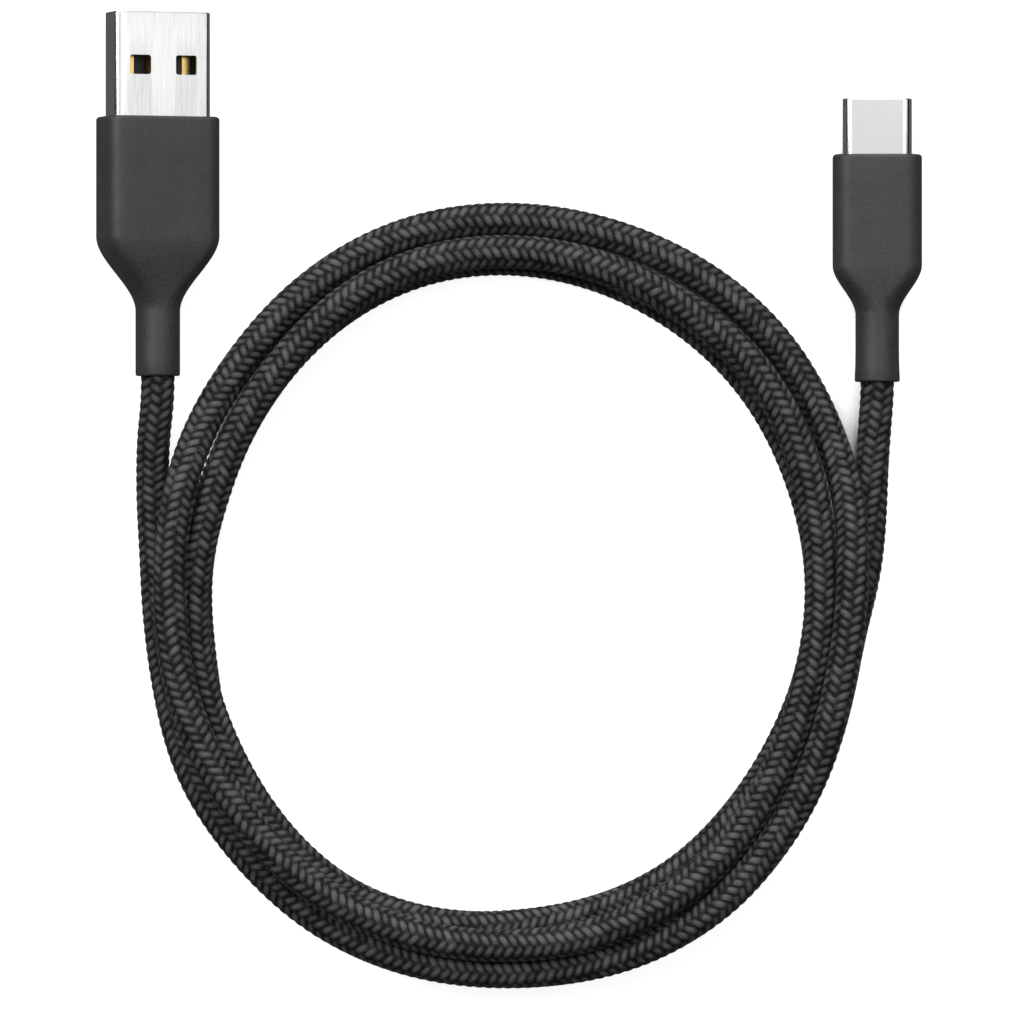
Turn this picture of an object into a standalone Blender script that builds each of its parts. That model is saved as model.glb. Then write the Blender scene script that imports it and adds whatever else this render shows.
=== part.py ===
"""Braided charging cable with a Type-A plug and a Type-C plug, laid in three and a half loose turns.

The cable lies on z = 0. Both plugs point along +Y, and the origin is at the middle of the two plugs' box.
Each plug is built in its own frame under an empty: +Y towards its tip, y = 0 at the rear face of its grip.
"""

import math

import bmesh
import bpy
import numpy as np

MM = 0.001

# Cord
CORD_DIAMETER = 3.8 * MM
CORD_POINTS = 90
FACE_GAP = 0.3 * MM
COIL_CENTRE = (0.4 * MM, -47.0 * MM)
LAID = 1.95  # height in mm of a strand that lies on the table
# Bearing from the coil's centre in degrees, then each turn's distance from that centre and height, in mm.
LAY = (
    (180, (42.3, LAID), (40.55, 8.85), (38.0, 5.75), (37.75, LAID)),
    (195, (42.45, 2.2), (40.8, 8.95), (38.45, 5.8), (38.25, LAID)),
    (210, (43.65, 4.7), (41.15, 8.9), (38.95, 5.6), (40.3, LAID)),
    (225, (44.35, 5.2), (41.7, 8.8), (39.95, 5.3), (42.1, LAID)),
    (240, (45.15, 5.5), (42.15, 8.7), (40.8, 5.0), (43.4, LAID)),
    (255, (45.35, 5.75), (42.2, 8.25), (40.65, 4.0), (44.3, LAID)),
    (270, (45.15, 5.7), (41.9, 8.15), (39.9, 2.5), (44.1, LAID)),
    (285, (45.15, 5.6), (41.6, 7.7), (39.4, LAID), (43.6, LAID)),
    (300, (44.65, 5.5), (40.7, 6.95), (38.85, LAID), (43.05, LAID)),
    (315, (43.2, 5.85), (39.15, 5.85), (37.75, LAID), (41.95, LAID)),
    (330, (41.55, 6.95), (37.6, 5.8), (37.05, LAID), (41.2, 2.9)),
    (345, (40.35, 7.95), (36.8, 5.8), (36.85, LAID), (40.45, 3.85)),
    (355, (40.2, 7.9), (36.75, 5.85), (36.85, LAID), (40.8, 2.7)),
    (363, (40.4, 7.55), (36.8, 5.8), (36.85, LAID)),
    (373, (41.2, 5.8), (37.2, 5.8), (36.85, LAID)),
    (383, (41.9, 3.6), (37.85, 5.8), (37.0, LAID)),
    (395, (42.75, 2.2), (38.7, 5.8), (37.45, LAID)),
    (405, (43.4, LAID), (39.2, 5.8), (37.85, LAID)),
    (420, (43.85, LAID), (39.5, 5.8), (38.4, LAID)),
    (435, (44.1, LAID), (40.0, 5.8), (39.05, LAID)),
    (450, (44.4, LAID), (40.4, 5.8), (39.65, LAID)),
    (465, (44.45, LAID), (40.45, 5.8), (39.85, LAID)),
    (480, (43.8, 2.1), (39.75, 5.8), (39.35, LAID)),
    (495, (42.65, 3.0), (38.5, 5.8), (38.55, LAID)),
    (510, (41.85, 4.7), (37.7, 5.8), (37.85, LAID)),
    (525, (41.1, 7.7), (37.35, 5.75), (37.55, LAID)),
)
# The straighter stretches that run from each plug into the coil: x, y and z in mm.
LEAD_A = (
    (-41.83, -24.5, 5.1),
    (-42.18, -27.8, 4.15),
    (-42.45, -32.5, 2.7),
    (-42.4, -37.3, 2.05),
    (-42.15, -42.0, LAID),
)
LEAD_C = (
    (41.7, -48.0, LAID),
    (42.6, -43.2, LAID),
    (43.05, -38.4, LAID),
    (43.4, -31.3, 2.05),
    (43.65, -27.1, 2.45),
)

# Type-A plug
A_AXIS_X = -41.73 * MM
A_REAR_Y = -21.34 * MM
A_ROLL = math.radians(20)
A_GRIP = (14.0 * MM, 7.5 * MM, 1.8 * MM)  # width, thickness, corner radius
A_GRIP_LENGTH = 30.8 * MM
A_TAPER = (7.7 * MM, 16.6 * MM)
A_NECK = 5.3 * MM
A_SHELL = (12.0 * MM, 4.5 * MM, 0.6 * MM)
A_WALL = 0.3 * MM
A_SHELL_REAR = 24.5 * MM
A_TIP = 43.2 * MM
A_WINDOW = (2.6 * MM, 2.3 * MM)
A_WINDOW_X = 2.85 * MM
A_WINDOW_FROM_TIP = 6.3 * MM
A_TONGUE_WIDTH = 10.9 * MM
A_TONGUE_FRONT = 42.6 * MM
A_TONGUE_BOTTOM = -1.88 * MM
A_BLOCK = (25.2 * MM, 31.0 * MM, -0.6 * MM, 1.88 * MM)  # rear, front, bottom, top
A_CONTACT = (1.0 * MM, 0.25 * MM)  # width, thickness
A_GROOVE_DEPTH = 0.42 * MM
A_TAIL_REAR = 20.5 * MM
A_CONTACT_Z = -0.1 * MM
# Name, sideways place and front end of each contact.
A_CONTACTS = (
    ("vbus", -3.5 * MM, 41.9 * MM),
    ("d_minus", -1.0 * MM, 40.9 * MM),
    ("d_plus", 1.0 * MM, 40.9 * MM),
    ("ground", 3.5 * MM, 41.9 * MM),
)
A_SHIELD = (11.0 * MM, 4.2 * MM, 15.6 * MM, 24.2 * MM)  # width, thickness, rear, front
A_JACKET_FRONT = 12.5 * MM
A_CRIMP = (9.6 * MM, 12.0 * MM)
# Sections of the mouldings from the rear forwards: y, width, thickness and corner radius in mm.
A_MOULD_OUTSIDE = (
    (12.7, 8.0, 4.7, 2.2),
    (15.4, 11.6, 5.5, 2.0),
    (17.8, 12.8, 5.7, 1.2),
    (29.1, 12.8, 5.7, 1.2),
)
A_MOULD_INSIDE = (
    (12.7, 5.6, 3.6, 1.7),
    (15.5, 11.3, 4.5, 0.4),
    (24.3, 11.3, 4.5, 0.4),
    (24.4, 12.3, 4.8, 0.7),
    (29.1, 12.3, 4.8, 0.7),
)
A_GRIP_INSIDE = (
    (0.0, 3.7, 3.7, 1.85),
    (8.9, 3.7, 3.7, 1.85),
    (9.3, 4.6, 4.6, 2.3),
    (12.3, 4.6, 4.6, 2.3),
    (12.4, 8.3, 5.0, 2.3),
    (15.2, 11.9, 5.8, 2.1),
    (17.6, 13.1, 6.0, 1.3),
    (29.4, 13.1, 6.0, 1.3),
    (29.5, 12.15, 4.65, 0.6),
    (30.8, 12.15, 4.65, 0.6),
)

# Type-C plug
C_AXIS_X = 43.9 * MM
C_REAR_Y = -22.0 * MM
C_GRIP = (10.6 * MM, 5.9 * MM, 2.2 * MM)
C_GRIP_LENGTH = 27.1 * MM
C_TAPER = (8.0 * MM, 13.9 * MM)
C_NECK = 5.2 * MM
C_FLARE = 0.1 * MM
C_SHELL = (8.25 * MM, 2.4 * MM, 1.19 * MM)
C_WALL = 0.25 * MM
C_SHELL_REAR = 22.3 * MM
C_TIP = 33.75 * MM
C_CARRIER_WIDTH = 6.2 * MM
C_CARRIER = (23.0 * MM, 33.2 * MM)
C_CARRIER_INNER = 0.48 * MM
C_CARRIER_OUTER = 0.76 * MM
C_CAVITY_REAR = 27.0 * MM
C_CONTACT = (0.26 * MM, 0.12 * MM)
C_PITCH = 0.5 * MM
C_GROOVE = (0.34 * MM, 0.67 * MM)  # width, height of its roof above the plug's middle
C_JOINER = (0.17 * MM, 0.5 * MM)  # bottom and top of the carrier's thicker rear
# Contacts by row, with their place on the pitch counted from the middle.
C_UPPER = (
    ("a1", -5.5),
    ("a4", -2.5),
    ("a5", -1.5),
    ("a6", -0.5),
    ("a7", 0.5),
    ("a9", 2.5),
    ("a12", 5.5),
)
C_LOWER = (("b12", -5.5), ("b9", -2.5), ("b5", 1.5), ("b4", 2.5), ("b1", 5.5))
# A contact from its tail on the board to its crest: y and distance from the plug's middle in mm.
C_CONTACT_PATH = (
    (20.0, 0.42),
    (22.2, 0.42),
    (22.8, 0.58),
    (28.5, 0.58),
    (30.4, 0.44),
    (31.0, 0.44),
    (32.0, 0.58),
)
C_BOARD = (7.0 * MM, 0.6 * MM, 14.8 * MM, 21.9 * MM)  # width, thickness, rear, front
C_RESISTOR = (1.0 * MM, 0.5 * MM, 0.35 * MM)
C_RESISTOR_AT = (0.75 * MM, 18.6 * MM)
C_SOLDER = 0.05 * MM
C_SHIELD = (8.3 * MM, 3.5 * MM, 14.2 * MM, 22.0 * MM)
C_JACKET_FRONT = 11.2 * MM
C_CRIMP = (8.6 * MM, 10.8 * MM)
C_LATCH_X = 3.45 * MM
C_LATCH = (24.3 * MM, 32.2 * MM)
C_LATCH_SECTION = (0.2 * MM, 0.6 * MM)  # thickness, height
# Depth of the latch's nose, then the distances of its three corners from the arm's front.
C_LATCH_NOSE = (0.25 * MM, 2.2 * MM, 1.3 * MM, 0.9 * MM)
C_EMI_SPRING = (4.8 * MM, 2.4 * MM, 0.08 * MM)
C_EMI_SPRING_AT = (32.0 * MM, 0.86 * MM)  # y, distance from the plug's middle
C_WIRE_X = (-2.6 * MM, -0.9 * MM, 0.9 * MM, 2.6 * MM)
C_WIRES_FANNED = 14.7 * MM
C_WIRE_FRONT = 16.8 * MM
C_MOULD_OUTSIDE = (
    (11.9, 6.8, 4.3, 2.0),
    (13.6, 8.8, 4.4, 1.6),
    (14.6, 9.1, 4.4, 1.4),
    (25.3, 9.1, 4.4, 1.4),
)
C_MOULD_INSIDE = (
    (11.9, 5.0, 3.5, 1.7),
    (14.0, 8.6, 3.8, 1.0),
    (22.2, 8.6, 3.8, 1.0),
    (22.3, 8.5, 2.7, 1.3),
    (25.3, 8.5, 2.7, 1.3),
)
C_GRIP_INSIDE = (
    (0.0, 3.7, 3.7, 1.85),
    (8.0, 3.7, 3.7, 1.85),
    (8.3, 4.4, 4.4, 2.2),
    (11.4, 4.4, 4.4, 2.2),
    (11.6, 7.1, 4.5, 2.1),
    (13.4, 9.0, 4.6, 1.7),
    (14.4, 9.3, 4.6, 1.5),
    (25.6, 9.3, 4.6, 1.5),
    (25.7, 8.4, 2.55, 1.265),
    (27.1, 8.4, 2.55, 1.265),
)

# Shared by both plugs
SHEET = 0.25 * MM
WIRE_RADIUS = 0.35 * MM
WIRE_COLOURS = ("red", "white", "green", "black")
JACKET = (1.65 * MM, 1.05 * MM)  # outer and inner radius
CRIMP_RING = (2.05 * MM, 1.78 * MM)
WIRE_SPREAD = 0.4 * MM  # from the jacket's middle to each wire's, both ways
CLEARANCE = 0.15 * MM
GRIP_EDGE = 0.35 * MM
SHIELD_FOLD = 0.5 * MM
CORNER_STEPS = 6
TAPER_STEPS = 9
WIRE_STEPS = 8
ROUTE_STEPS = 100
SMOOTH_ANGLE = math.radians(35)

FINISHES = {
    "braid": ((0.035, 0.035, 0.037), 0.85, 0.0),
    "grip": ((0.045, 0.045, 0.047), 0.62, 0.0),
    "steel": ((0.78, 0.78, 0.79), 0.22, 1.0),
    "gold": ((0.83, 0.62, 0.24), 0.25, 1.0),
    "insulator": ((0.02, 0.02, 0.022), 0.5, 0.0),
    "inner_mould": ((0.72, 0.72, 0.70), 0.45, 0.0),
    "jacket": ((0.03, 0.03, 0.03), 0.6, 0.0),
    "board": ((0.02, 0.16, 0.07), 0.4, 0.0),
    "resistor": ((0.03, 0.03, 0.035), 0.35, 0.0),
    "wire_red": ((0.55, 0.03, 0.03), 0.45, 0.0),
    "wire_white": ((0.8, 0.8, 0.78), 0.45, 0.0),
    "wire_green": ((0.04, 0.35, 0.08), 0.45, 0.0),
    "wire_black": ((0.02, 0.02, 0.02), 0.45, 0.0),
}


# ---- scene and materials ----


def clear_scene():
    for obj in list(bpy.data.objects):
        bpy.data.objects.remove(obj, do_unlink=True)


def make_collection(name):
    collection = bpy.data.collections.new(name)
    bpy.context.scene.collection.children.link(collection)
    return collection


def make_material(name):
    colour, roughness, metallic = FINISHES[name]
    material = bpy.data.materials.new(name)
    material.use_nodes = True
    shader = material.node_tree.nodes["Principled BSDF"]
    shader.inputs["Base Color"].default_value = (*colour, 1.0)
    shader.inputs["Roughness"].default_value = roughness
    shader.inputs["Metallic"].default_value = metallic
    return material


clear_scene()
PARTS = make_collection("charging_cable")
CUTTERS = make_collection("cutters")
MATERIALS = {name: make_material(name) for name in FINISHES}


def place(obj, finish, parent=None):
    PARTS.objects.link(obj)
    obj.data.materials.append(MATERIALS[finish])
    obj.parent = parent
    return obj


def finish_mesh(bm, name):
    """A mesh from a bmesh, with its normals out, flat faces sharp and round faces smooth."""
    bmesh.ops.recalc_face_normals(bm, faces=bm.faces)
    mesh = bpy.data.meshes.new(name)
    bm.to_mesh(mesh)
    bm.free()
    mesh.shade_smooth()
    mesh.set_sharp_from_angle(angle=SMOOTH_ANGLE)
    return mesh


def add_mesh(bm, name, finish, parent):
    return place(bpy.data.objects.new(name, finish_mesh(bm, name)), finish, parent)


def plug_frame(name, x, y, z, roll):
    """The empty that holds a plug: it lies along +Y and is rolled about that axis."""
    empty = bpy.data.objects.new(name, None)
    PARTS.objects.link(empty)
    empty.location = (x, y, z)
    empty.rotation_euler = (0, roll, 0)
    return empty


# ---- outlines and solids ----


def rounded_ring(width, thickness, radius, y):
    """A rounded rectangle across the plug at y, as points in order round it."""
    radius = min(radius, width / 2, thickness / 2)
    points = []
    for corner, (side, top) in enumerate(((1, 1), (-1, 1), (-1, -1), (1, -1))):
        for step in range(CORNER_STEPS):
            angle = math.radians(90) * (corner + step / (CORNER_STEPS - 1))
            x = side * (width / 2 - radius) + radius * math.cos(angle)
            z = top * (thickness / 2 - radius) + radius * math.sin(angle)
            points.append((x, y, z))
    return points


def round_ring(radius, y):
    return rounded_ring(2 * radius, 2 * radius, radius, y)


def section_rings(sections):
    """Rings from a table of y, width, thickness and corner radius in mm."""
    rings = []
    for y, width, thickness, radius in sections:
        rings.append(rounded_ring(width * MM, thickness * MM, radius * MM, y * MM))
    return rings


def swell(share):
    """Goes smoothly from 0 to 1 as share does, level at both ends."""
    return share * share * (3 - 2 * share)


def loft(rings, name, finish, parent, hollow=False):
    """Joins rings of equally many points. A hollow loft comes back to its first ring, others are capped."""
    bm = bmesh.new()
    loops = [[bm.verts.new(point) for point in ring] for ring in rings]
    pairs = list(zip(loops, loops[1:]))
    if hollow:
        pairs.append((loops[-1], loops[0]))
    for near, far in pairs:
        for i in range(len(near)):
            j = (i + 1) % len(near)
            bm.faces.new((near[i], near[j], far[j], far[i]))
    if not hollow:
        bm.faces.new(loops[0])
        bm.faces.new(loops[-1])
    return add_mesh(bm, name, finish, parent)


def box(size, centre, name, finish, parent):
    bm = bmesh.new()
    bmesh.ops.create_cube(bm, size=1)
    bmesh.ops.scale(bm, vec=size, verts=bm.verts)
    bmesh.ops.translate(bm, vec=centre, verts=bm.verts)
    return add_mesh(bm, name, finish, parent)


def cutter_box(size, centre, name, parent):
    obj = box(size, centre, name, "insulator", parent)
    PARTS.objects.unlink(obj)
    CUTTERS.objects.link(obj)
    obj.hide_render = True
    obj.display_type = "WIRE"
    return obj


def boolean(obj, other, operation):
    modifier = obj.modifiers.new(other.name, "BOOLEAN")
    modifier.operation = operation
    modifier.object = other


def strip(path, width, thickness, x, name, finish, parent):
    """A flat metal strip that follows a path of (y, z) points at one place across the plug."""
    rings = []
    for i, (y, z) in enumerate(path):
        before, after = path[max(i - 1, 0)], path[min(i + 1, len(path) - 1)]
        along = math.atan2(after[1] - before[1], after[0] - before[0])
        dy, dz = -math.sin(along) * thickness / 2, math.cos(along) * thickness / 2
        left, right = x - width / 2, x + width / 2
        under = [(left, y - dy, z - dz), (right, y - dy, z - dz)]
        over = [(right, y + dy, z + dz), (left, y + dy, z + dz)]
        rings.append(under + over)
    return loft(rings, name, finish, parent)


def half_shield(width, thickness, rear, front, up, name, parent):
    """One folded half of a plug's rear shield: a channel of sheet metal, open towards the other half."""
    w, top, lip = width / 2, up * thickness / 2, up * CLEARANCE
    fold, side = SHIELD_FOLD, top - up * SHIELD_FOLD
    outline = ((-w, lip), (-w, side), (fold - w, top), (w - fold, top), (w, side), (w, lip))
    bm = bmesh.new()
    near, far = ([bm.verts.new((x, y, z)) for x, z in outline] for y in (rear, front))
    for i in range(len(outline) - 1):
        bm.faces.new((near[i], near[i + 1], far[i + 1], far[i]))
    obj = add_mesh(bm, name, "steel", parent)
    solidify = obj.modifiers.new("sheet", "SOLIDIFY")
    solidify.thickness = SHEET
    solidify.offset = -1
    solidify.use_even_offset = True
    return obj


def round_tube(radii, rear, front, name, finish, parent):
    outer, inner = radii
    rings = [round_ring(outer, rear), round_ring(outer, front)]
    rings += [round_ring(inner, front), round_ring(inner, rear)]
    return loft(rings, name, finish, parent, hollow=True)


# ---- smooth routes ----


def smooth_route(points, count):
    """Evenly spaced points on the natural cubic spline through the given ones."""
    p = np.array(points, float)
    t = np.concatenate([[0], np.cumsum(np.linalg.norm(np.diff(p, axis=0), axis=1))])
    h = np.diff(t)
    matrix, slopes = np.eye(len(p)), np.zeros_like(p)
    for i in range(1, len(p) - 1):
        matrix[i, i - 1 : i + 2] = h[i - 1], 2 * (h[i - 1] + h[i]), h[i]
        slopes[i] = 6 * ((p[i + 1] - p[i]) / h[i] - (p[i] - p[i - 1]) / h[i - 1])
    bend = np.linalg.solve(matrix, slopes)
    at = np.linspace(0, t[-1], ROUTE_STEPS * len(p))
    i = np.clip(np.searchsorted(t, at) - 1, 0, len(p) - 2)
    u, v, w = (at - t[i])[:, None], (t[i + 1] - at)[:, None], h[i][:, None]
    fine = (bend[i] * v**3 + bend[i + 1] * u**3) / (6 * w)
    fine += (p[i] / w - bend[i] * w / 6) * v + (p[i + 1] / w - bend[i + 1] * w / 6) * u
    run = np.concatenate([[0], np.cumsum(np.linalg.norm(np.diff(fine, axis=0), axis=1))])
    even = np.linspace(0, run[-1], count)
    return [tuple(float(np.interp(s, run, fine[:, k])) for k in range(3)) for s in even]


def tube_along(points, radius, sides_level, name, finish, parent=None):
    curve = bpy.data.curves.new(name, "CURVE")
    curve.dimensions = "3D"
    curve.bevel_depth = radius
    curve.bevel_resolution = sides_level
    curve.use_fill_caps = True
    spline = curve.splines.new("POLY")
    spline.points.add(len(points) - 1)
    for target, point in zip(spline.points, points):
        target.co = (*point, 1.0)
    return place(bpy.data.objects.new(name, curve), finish, parent)


# ---- parts that both plugs have ----


def grip_rings(size, neck, taper, length, flare):
    """The outside of a moulded grip, from its rear face to its front edge."""
    width, thickness, radius = size
    rear, front = taper
    rings = [round_ring(neck / 2 + flare, 0.0)]
    rings += [round_ring(neck / 2, 0.25 * rear), round_ring(neck / 2, 0.8 * rear)]
    for step in range(TAPER_STEPS + 1):
        share = step / TAPER_STEPS
        grown = swell(share)
        wide = neck + (width - neck) * grown
        thick = neck + (thickness - neck) * grown
        corner = neck / 2 + (radius - neck / 2) * grown
        rings.append(rounded_ring(wide, thick, corner, rear + share * (front - rear)))
    rings.append(rounded_ring(width, thickness, radius, length - GRIP_EDGE))
    rings.append(rounded_ring(width - GRIP_EDGE, thickness - GRIP_EDGE, radius, length))
    return rings


def wires(frame, prefix, ends, jacket_front, fanned_y, ends_y, ends_z):
    """Four insulated wires, square in the jacket, then fanned out, then straight to their solder points."""
    lead = jacket_front + FACE_GAP
    for order, (colour, x) in enumerate(zip(WIRE_COLOURS, ends)):
        near_x = -WIRE_SPREAD if order < 2 else WIRE_SPREAD
        near_z = WIRE_SPREAD if order in (0, 3) else -WIRE_SPREAD
        route = [(near_x, MM, near_z)]
        for step in range(WIRE_STEPS + 1):
            share = step / WIRE_STEPS
            across = near_x + (x - near_x) * swell(share)
            rise = near_z + (ends_z - near_z) * swell(share)
            route.append((across, lead + share * (fanned_y - lead), rise))
        route.append((x, ends_y, ends_z))
        tube_along(route, WIRE_RADIUS, 1, f"{prefix}_wire_{colour}", f"wire_{colour}", frame)


def jacket_and_crimp(frame, prefix, jacket_front, crimp):
    round_tube(JACKET, FACE_GAP, jacket_front, f"{prefix}_jacket_end", "jacket", frame)
    round_tube(CRIMP_RING, *crimp, f"{prefix}_crimp_ring", "steel", frame)


# ---- Type-A plug ----


def type_a_shell(frame):
    width, thickness, radius = A_SHELL
    inner = (width - 2 * A_WALL, thickness - 2 * A_WALL, radius - A_WALL)
    rings = [rounded_ring(*A_SHELL, A_SHELL_REAR), rounded_ring(*A_SHELL, A_TIP)]
    rings += [rounded_ring(*inner, A_TIP), rounded_ring(*inner, A_SHELL_REAR)]
    shell = loft(rings, "type_a_shell", "steel", frame, hollow=True)
    for side in (-1, 1):
        size = (A_WINDOW[0], A_WINDOW[1], 2 * thickness)
        centre = (side * A_WINDOW_X, A_TIP - A_WINDOW_FROM_TIP, 0)
        boolean(shell, cutter_box(size, centre, f"window_cutter_{side}", frame), "DIFFERENCE")


def type_a_insulator(frame):
    """The tongue and the block behind it, with a groove or tunnel for each contact."""
    rear, front, bottom, top = A_BLOCK
    length = A_TONGUE_FRONT - rear
    tongue_size = (A_TONGUE_WIDTH, length, -A_TONGUE_BOTTOM)
    tongue_centre = (0, rear + length / 2, A_TONGUE_BOTTOM / 2)
    insulator = box(tongue_size, tongue_centre, "type_a_insulator", "insulator", frame)
    block_size = (A_TONGUE_WIDTH, front - rear, top - bottom)
    block_centre = (0, (rear + front) / 2, (top + bottom) / 2)
    boolean(insulator, cutter_box(block_size, block_centre, "block_joiner", frame), "UNION")
    for name, x, contact_front in A_CONTACTS:
        start, end = rear - MM, contact_front + CLEARANCE
        size = (A_CONTACT[0] + CLEARANCE, end - start, A_GROOVE_DEPTH)
        centre = (x, (start + end) / 2, A_CONTACT_Z)
        boolean(insulator, cutter_box(size, centre, f"groove_cutter_{name}", frame), "DIFFERENCE")


def type_a_contacts(frame):
    width, thickness = A_CONTACT
    for name, x, front in A_CONTACTS:
        path = ((A_TAIL_REAR, A_CONTACT_Z), (front, A_CONTACT_Z))
        strip(path, width, thickness, x, f"type_a_contact_{name}", "gold", frame)


def type_a_inner_mould(frame):
    rings = section_rings(A_MOULD_OUTSIDE) + section_rings(reversed(A_MOULD_INSIDE))
    loft(rings, "type_a_inner_mould", "inner_mould", frame, hollow=True)


def type_a_grip(frame):
    outer = grip_rings(A_GRIP, A_NECK, A_TAPER, A_GRIP_LENGTH, 0.0)
    rings = outer + section_rings(reversed(A_GRIP_INSIDE))
    loft(rings, "type_a_grip", "grip", frame, hollow=True)


def type_a_plug():
    width, thickness, radius = A_GRIP
    half_width, half_thickness = width / 2 - radius, thickness / 2 - radius
    height = half_width * math.sin(A_ROLL) + half_thickness * math.cos(A_ROLL) + radius
    frame = plug_frame("type_a_plug", A_AXIS_X, A_REAR_Y, height, A_ROLL)
    type_a_shell(frame)
    type_a_insulator(frame)
    type_a_contacts(frame)
    half_shield(*A_SHIELD, 1, "type_a_rear_shield_top", frame)
    half_shield(*A_SHIELD, -1, "type_a_rear_shield_bottom", frame)
    jacket_and_crimp(frame, "type_a", A_JACKET_FRONT, A_CRIMP)
    tails_x = [x for _, x, _ in A_CONTACTS]
    wires_end = A_TAIL_REAR - FACE_GAP
    wires(frame, "type_a", tails_x, A_JACKET_FRONT, A_TAIL_REAR - MM, wires_end, A_CONTACT_Z)
    type_a_inner_mould(frame)
    type_a_grip(frame)
    return (A_AXIS_X, A_REAR_Y - FACE_GAP, height)


# ---- Type-C plug ----


def type_c_shell(frame):
    width, thickness, radius = C_SHELL
    inner = (width - 2 * C_WALL, thickness - 2 * C_WALL, radius - C_WALL)
    rings = [rounded_ring(*C_SHELL, C_SHELL_REAR), rounded_ring(*C_SHELL, C_TIP)]
    rings += [rounded_ring(*inner, C_TIP), rounded_ring(*inner, C_SHELL_REAR)]
    loft(rings, "type_c_shell", "steel", frame, hollow=True)


def type_c_carrier(frame, up, row, name):
    """A comb of insulating plastic with one groove for each contact, thicker behind the plug's cavity."""
    groove, roof = C_GROOVE
    half = C_CARRIER_WIDTH / 2
    outline = [(-half, C_CARRIER_OUTER), (-half, C_CARRIER_INNER)]
    for _, place_on_pitch in row:
        x = place_on_pitch * C_PITCH
        left, right = x - groove / 2, x + groove / 2
        outline += [(left, C_CARRIER_INNER), (left, roof), (right, roof), (right, C_CARRIER_INNER)]
    outline += [(half, C_CARRIER_INNER), (half, C_CARRIER_OUTER)]
    rings = [[(x, y, up * z) for x, z in outline] for y in C_CARRIER]
    carrier = loft(rings, name, "insulator", frame)
    low, high = C_JOINER
    size = (C_CARRIER_WIDTH, C_CAVITY_REAR - C_CARRIER[0], high - low)
    centre = (0, (C_CAVITY_REAR + C_CARRIER[0]) / 2, up * (low + high) / 2)
    boolean(carrier, cutter_box(size, centre, f"{name}_joiner", frame), "UNION")


def type_c_contacts(frame, up, row):
    """Spring contacts: a tail on the board, a shank in the carrier and a crest in the cavity."""
    path = [(y * MM, up * z * MM) for y, z in C_CONTACT_PATH]
    for contact, place_on_pitch in row:
        x = place_on_pitch * C_PITCH
        strip(path, *C_CONTACT, x, f"type_c_contact_{contact}", "gold", frame)


def type_c_latch(frame, side, name):
    """A spring arm beside the cavity, with a nose near its front that grips the socket's edge."""
    thickness, height = C_LATCH_SECTION
    rear, front = C_LATCH
    depth, foot, rise, crest = C_LATCH_NOSE
    path = ((rear, 0), (front - foot, 0), (front - rise, depth), (front - crest, depth), (front, 0))
    rings = []
    for y, inward in path:
        x = side * (C_LATCH_X - inward)
        low, high = x - thickness / 2, x + thickness / 2
        under = [(low, y, -height / 2), (high, y, -height / 2)]
        over = [(high, y, height / 2), (low, y, height / 2)]
        rings.append(under + over)
    latch = loft(rings, name, "steel", frame)
    hinge = (side * C_LATCH_X, rear, 0)
    for vertex in latch.data.vertices:
        vertex.co.x -= hinge[0]
        vertex.co.y -= hinge[1]
    latch.location = hinge


def type_c_emi_spring(frame, up, name):
    y, from_middle = C_EMI_SPRING_AT
    box(C_EMI_SPRING, (0, y, up * from_middle), name, "steel", frame)


def type_c_board(frame):
    width, thickness, rear, front = C_BOARD
    size, centre = (width, front - rear, thickness), (0, (rear + front) / 2, 0)
    box(size, centre, "type_c_circuit_board", "board", frame)
    above = (thickness + C_RESISTOR[2]) / 2 + C_SOLDER
    box(C_RESISTOR, (*C_RESISTOR_AT, above), "type_c_pullup_resistor", "resistor", frame)


def type_c_inner_mould(frame):
    rings = section_rings(C_MOULD_OUTSIDE) + section_rings(reversed(C_MOULD_INSIDE))
    loft(rings, "type_c_inner_mould", "inner_mould", frame, hollow=True)


def type_c_grip(frame):
    outer = grip_rings(C_GRIP, C_NECK, C_TAPER, C_GRIP_LENGTH, C_FLARE)
    rings = outer + section_rings(reversed(C_GRIP_INSIDE))
    loft(rings, "type_c_grip", "grip", frame, hollow=True)


def type_c_plug():
    height = C_GRIP[1] / 2
    frame = plug_frame("type_c_plug", C_AXIS_X, C_REAR_Y, height, 0)
    type_c_shell(frame)
    for up, row, word in ((1, C_UPPER, "upper"), (-1, C_LOWER, "lower")):
        type_c_carrier(frame, up, row, f"type_c_carrier_{word}")
        type_c_contacts(frame, up, row)
        type_c_emi_spring(frame, up, "type_c_emi_spring_" + ("top" if up > 0 else "bottom"))
    plate = (C_CARRIER_WIDTH, C_CAVITY_REAR - C_CARRIER[0], 0.2 * MM)
    box(plate, (0, (C_CAVITY_REAR + C_CARRIER[0]) / 2, 0), "type_c_mid_plate", "steel", frame)
    type_c_latch(frame, -1, "type_c_latch_left")
    type_c_latch(frame, 1, "type_c_latch_right")
    type_c_board(frame)
    half_shield(*C_SHIELD, 1, "type_c_rear_shield_top", frame)
    half_shield(*C_SHIELD, -1, "type_c_rear_shield_bottom", frame)
    jacket_and_crimp(frame, "type_c", C_JACKET_FRONT, C_CRIMP)
    wire_height = C_BOARD[1] / 2 + WIRE_RADIUS + CLEARANCE
    wires(frame, "type_c", C_WIRE_X, C_JACKET_FRONT, C_WIRES_FANNED, C_WIRE_FRONT, wire_height)
    type_c_inner_mould(frame)
    type_c_grip(frame)
    return (C_AXIS_X, C_REAR_Y - FACE_GAP, height)


# ---- cord ----


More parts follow.
